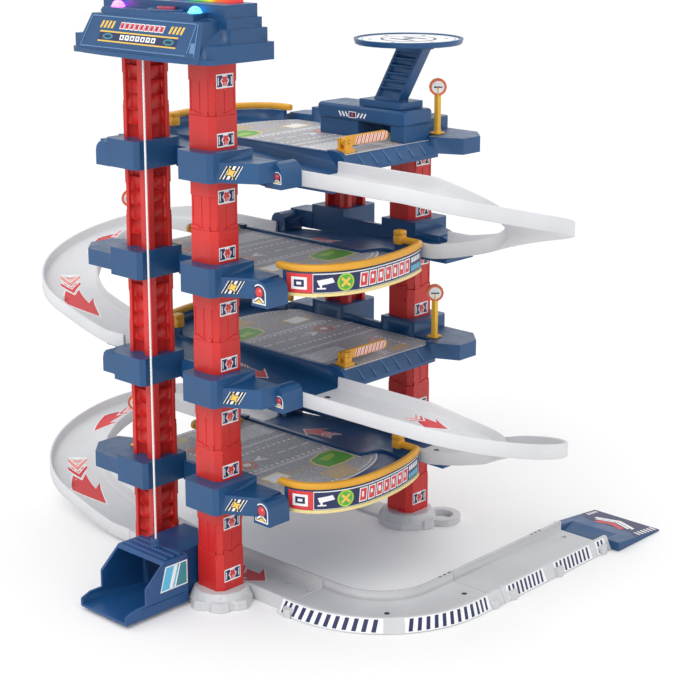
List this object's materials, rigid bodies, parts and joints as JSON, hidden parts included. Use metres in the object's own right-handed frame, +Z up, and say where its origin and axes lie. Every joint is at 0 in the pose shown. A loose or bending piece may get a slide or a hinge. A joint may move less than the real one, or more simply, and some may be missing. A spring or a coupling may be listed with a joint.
{
  "type": "toy parking garage",
  "caption": "Toy parking garage: stacked decks on columns, loop ramps down to a ground track, a corded lift and a helipad.",
  "frame": {"origin": "middle of the bounding box on the floor that the garage stands on", "axes": "+Z up; +X along the long side of the decks, away from the lift; +Y to the back, away from the side where the ground track leaves"},
  "size_m": [0.394, 0.46, 0.418],
  "materials": {
    "red_plastic": "smooth moulded, slight gloss",
    "blue_plastic": "smooth moulded, slight gloss",
    "grey_plastic": "smooth moulded, light grey",
    "yellow_plastic": "smooth moulded, slight gloss",
    "dark_plastic": "matt moulded",
    "button_plastic": "glossy moulded",
    "clear_plastic": "tinted translucent lens",
    "white_cord": "fine twisted cord"
  },
  "bodies": {
    "garage": {"column_back_left_1": "red_plastic", "column_back_left_2": "red_plastic", "column_back_left_3": "red_plastic", "column_back_left_4": "red_plastic", "column_back_left_5": "red_plastic", "column_front_left_1": "red_plastic", "column_front_left_2": "red_plastic", "column_front_left_3": "red_plastic", "column_front_left_4": "red_plastic", "column_front_left_5": "red_plastic", "column_back_right_1": "red_plastic", "column_back_right_2": "red_plastic", "column_back_right_3": "red_plastic", "column_back_right_4": "red_plastic", "column_front_right_1": "red_plastic", "column_front_right_2": "red_plastic", "column_front_right_3": "red_plastic", "column_front_right_4": "red_plastic", "deck_1": "blue_plastic", "guard_rail_1": "yellow_plastic", "ramp_1": "grey_plastic", "barrier_post_1": "yellow_plastic", "road_sign_1": "yellow_plastic", "deck_2": "blue_plastic", "guard_rail_2": "yellow_plastic", "ramp_2": "grey_plastic", "barrier_post_2": "yellow_plastic", "road_sign_2": "yellow_plastic", "deck_3": "blue_plastic", "guard_rail_3": "yellow_plastic", "ramp_3": "grey_plastic", "barrier_post_3": "yellow_plastic", "road_sign_3": "yellow_plastic", "deck_4": "blue_plastic", "guard_rail_4": "yellow_plastic", "ramp_4": "grey_plastic", "barrier_post_4": "yellow_plastic", "road_sign_4": "yellow_plastic", "base_left": "grey_plastic", "base_right": "grey_plastic", "track_straight": "grey_plastic", "track_curve": "grey_plastic", "track_exit": "grey_plastic", "exit_flap": "blue_plastic", "helipad_bridge": "blue_plastic", "helipad_mast": "blue_plastic", "helipad_disc": "blue_plastic", "roof_shell": "blue_plastic", "roof_base": "blue_plastic", "motor_gearbox": "dark_plastic", "battery_box": "dark_plastic", "light_lens": "clear_plastic", "lift_cord": "white_cord"},
    "lift": {"lift_cage": "blue_plastic"},
    "drum": {"winch_drum": "grey_plastic"},
    "barrier_1": {"barrier_arm_1": "yellow_plastic"},
    "barrier_2": {"barrier_arm_2": "yellow_plastic"},
    "barrier_3": {"barrier_arm_3": "yellow_plastic"},
    "barrier_4": {"barrier_arm_4": "yellow_plastic"},
    "button": {"call_button": "button_plastic"}
  },
  "joints": [
    {"name": "lift_slide", "type": "slide", "parent": "garage", "child": "lift", "axis": [0, 0, 1], "range_m": [0, 0.309], "deforming": ["lift_cord"]},
    {"name": "drum_spin", "type": "hinge", "parent": "garage", "child": "drum", "pos_m": [-0.1424, 0, 0.389], "axis": [0, 1, 0], "range_deg": [0, 2905]},
    {"name": "barrier_1_hinge", "type": "hinge", "parent": "garage", "child": "barrier_1", "pos_m": [-0.0114, 0.066, 0.0883], "axis": [0, 1, 0], "range_deg": [0, 90]},
    {"name": "barrier_2_hinge", "type": "hinge", "parent": "garage", "child": "barrier_2", "pos_m": [-0.0266, -0.066, 0.1643], "axis": [0, -1, 0], "range_deg": [0, 90]},
    {"name": "barrier_3_hinge", "type": "hinge", "parent": "garage", "child": "barrier_3", "pos_m": [-0.0114, 0.066, 0.2403], "axis": [0, 1, 0], "range_deg": [0, 90]},
    {"name": "barrier_4_hinge", "type": "hinge", "parent": "garage", "child": "barrier_4", "pos_m": [-0.0266, -0.066, 0.3163], "axis": [0, -1, 0], "range_deg": [0, 90]},
    {"name": "call_button_press", "type": "slide", "parent": "garage", "child": "button", "axis": [0, 0, -1], "range_m": [0, 0.0018], "stiffness_N_per_m": 120, "springref_m": -0.0006}
  ],
  "couplings": [
    {"joint": "drum_spin", "follows": "lift_slide", "rad_per_m": 163.93}
  ]
}
